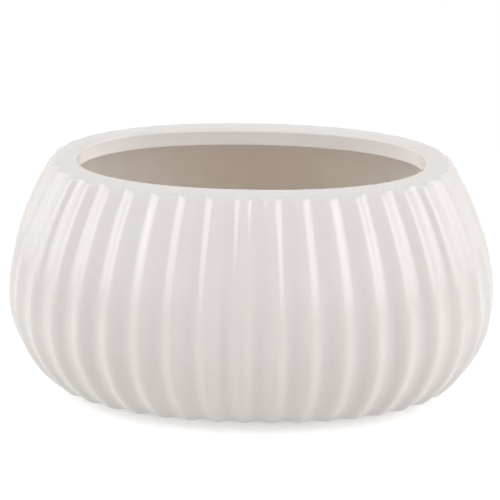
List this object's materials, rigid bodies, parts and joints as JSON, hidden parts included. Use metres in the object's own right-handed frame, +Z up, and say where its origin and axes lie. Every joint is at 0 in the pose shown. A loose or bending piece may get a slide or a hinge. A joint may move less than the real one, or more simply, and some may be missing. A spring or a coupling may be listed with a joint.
{
  "type": "ceramic cachepot",
  "caption": "Oval ribbed cachepot of glazed ceramic with a smooth shoulder round an open mouth, standing on small felt pads.",
  "frame": {"origin": "centre of the footprint, on the surface that the pot stands on", "axes": "+X along the long side of the oval, -Y out of the front, +Z up out of the mouth"},
  "size_m": [0.27, 0.1808, 0.1337],
  "materials": {
    "glaze": "gloss",
    "felt": "matte"
  },
  "bodies": {
    "root": {"pot_body": "glaze", "foot_pad_1": "felt", "foot_pad_2": "felt", "foot_pad_3": "felt", "foot_pad_4": "felt"}
  },
  "joints": []
}
